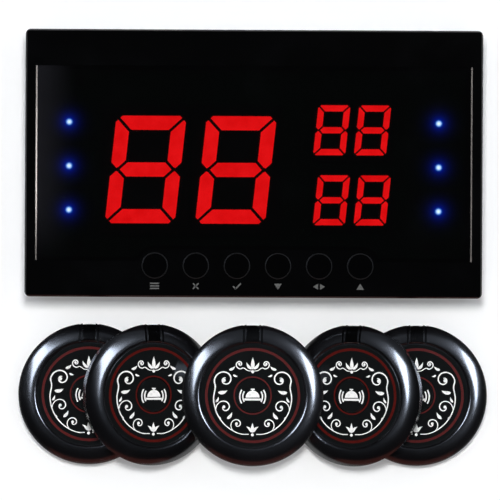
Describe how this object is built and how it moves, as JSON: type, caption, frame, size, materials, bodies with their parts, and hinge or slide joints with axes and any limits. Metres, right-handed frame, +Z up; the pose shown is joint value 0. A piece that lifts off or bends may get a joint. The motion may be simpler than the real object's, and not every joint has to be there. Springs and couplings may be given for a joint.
{
  "type": "wireless call bell system",
  "caption": "Black counter receiver with red slanted digits, blue lamps and round keys, lying face up, with round push-button call bells fanned out in front of it.",
  "frame": {"origin": "on the surface that the set lies on, in the middle of its footprint", "axes": "+Z up out of the receiver's face, +Y towards the receiver's top edge, +X to the right"},
  "size_m": [0.25, 0.2312, 0.0365],
  "materials": {
    "case_gloss": "polished black",
    "window_smoke": "smoked clear, polished",
    "trim_silver": "satin",
    "cover_black": "fine texture",
    "board_green": "solder mask",
    "digit_black": "matt",
    "segment_red": "diffused",
    "lamp_blue": "water clear",
    "switch_black": "matt",
    "speaker_grey": "satin",
    "screw_steel": "zinc plated",
    "foot_rubber": "matt",
    "key_black": "polished",
    "bell_gloss": "polished black",
    "label_black": "printed film, semi-gloss",
    "button_black": "semi-gloss",
    "lens_smoke": "smoked, polished",
    "cell_steel": "bright"
  },
  "bodies": {
    "set": {"front_frame": "case_gloss", "window": "window_smoke", "window_trims": "trim_silver", "rear_cover": "cover_black", "main_board": "board_green", "main_digit_blocks": "digit_black", "main_digit_segments": "segment_red", "sub_digit_blocks": "digit_black", "sub_digit_segments": "segment_red", "status_leds": "lamp_blue", "key_switches": "switch_black", "speaker": "speaker_grey", "power_jack": "switch_black", "radio_module": "board_green", "case_screws": "screw_steel", "board_screws": "screw_steel", "rubber_feet": "foot_rubber", "bell_1_housing": "bell_gloss", "bell_1_base": "cover_black", "bell_1_label": "label_black", "bell_1_lens": "lens_smoke", "bell_1_board": "board_green", "bell_1_battery": "cell_steel", "bell_2_housing": "bell_gloss", "bell_2_base": "cover_black", "bell_2_label": "label_black", "bell_2_lens": "lens_smoke", "bell_2_board": "board_green", "bell_2_battery": "cell_steel", "bell_3_housing": "bell_gloss", "bell_3_base": "cover_black", "bell_3_label": "label_black", "bell_3_lens": "lens_smoke", "bell_3_board": "board_green", "bell_3_battery": "cell_steel", "bell_4_housing": "bell_gloss", "bell_4_base": "cover_black", "bell_4_label": "label_black", "bell_4_lens": "lens_smoke", "bell_4_board": "board_green", "bell_4_battery": "cell_steel", "bell_5_housing": "bell_gloss", "bell_5_base": "cover_black", "bell_5_label": "label_black", "bell_5_lens": "lens_smoke", "bell_5_board": "board_green", "bell_5_battery": "cell_steel", "bell_switches": "switch_black", "bell_screws": "screw_steel"},
    "key_1": {"key_1": "key_black"},
    "key_2": {"key_2": "key_black"},
    "key_3": {"key_3": "key_black"},
    "key_4": {"key_4": "key_black"},
    "key_5": {"key_5": "key_black"},
    "key_6": {"key_6": "key_black"},
    "bell_1_button": {"bell_1_button": "button_black"},
    "bell_2_button": {"bell_2_button": "button_black"},
    "bell_3_button": {"bell_3_button": "button_black"},
    "bell_4_button": {"bell_4_button": "button_black"},
    "bell_5_button": {"bell_5_button": "button_black"}
  },
  "joints": [
    {"name": "key_1_press", "type": "slide", "parent": "set", "child": "key_1", "axis": [0, 0, -1], "range_m": [0, 0.0008], "stiffness_N_per_m": 1200, "springref_m": -0.0002},
    {"name": "key_2_press", "type": "slide", "parent": "set", "child": "key_2", "axis": [0, 0, -1], "range_m": [0, 0.0008], "stiffness_N_per_m": 1200, "springref_m": -0.0002},
    {"name": "key_3_press", "type": "slide", "parent": "set", "child": "key_3", "axis": [0, 0, -1], "range_m": [0, 0.0008], "stiffness_N_per_m": 1200, "springref_m": -0.0002},
    {"name": "key_4_press", "type": "slide", "parent": "set", "child": "key_4", "axis": [0, 0, -1], "range_m": [0, 0.0008], "stiffness_N_per_m": 1200, "springref_m": -0.0002},
    {"name": "key_5_press", "type": "slide", "parent": "set", "child": "key_5", "axis": [0, 0, -1], "range_m": [0, 0.0008], "stiffness_N_per_m": 1200, "springref_m": -0.0002},
    {"name": "key_6_press", "type": "slide", "parent": "set", "child": "key_6", "axis": [0, 0, -1], "range_m": [0, 0.0008], "stiffness_N_per_m": 1200, "springref_m": -0.0002},
    {"name": "bell_1_press", "type": "slide", "parent": "set", "child": "bell_1_button", "axis": [0, 0, -1], "range_m": [0, 0.0005], "stiffness_N_per_m": 1200, "springref_m": -0.0002},
    {"name": "bell_2_press", "type": "slide", "parent": "set", "child": "bell_2_button", "axis": [-0.3627, 0, -0.9319], "range_m": [0, 0.0005], "stiffness_N_per_m": 1200, "springref_m": -0.0002},
    {"name": "bell_3_press", "type": "slide", "parent": "set", "child": "bell_3_button", "axis": [0, 0, -1], "range_m": [0, 0.0005], "stiffness_N_per_m": 1200, "springref_m": -0.0002},
    {"name": "bell_4_press", "type": "slide", "parent": "set", "child": "bell_4_button", "axis": [0.3627, 0, -0.9319], "range_m": [0, 0.0005], "stiffness_N_per_m": 1200, "springref_m": -0.0002},
    {"name": "bell_5_press", "type": "slide", "parent": "set", "child": "bell_5_button", "axis": [0, 0, -1], "range_m": [0, 0.0005], "stiffness_N_per_m": 1200, "springref_m": -0.0002}
  ]
}
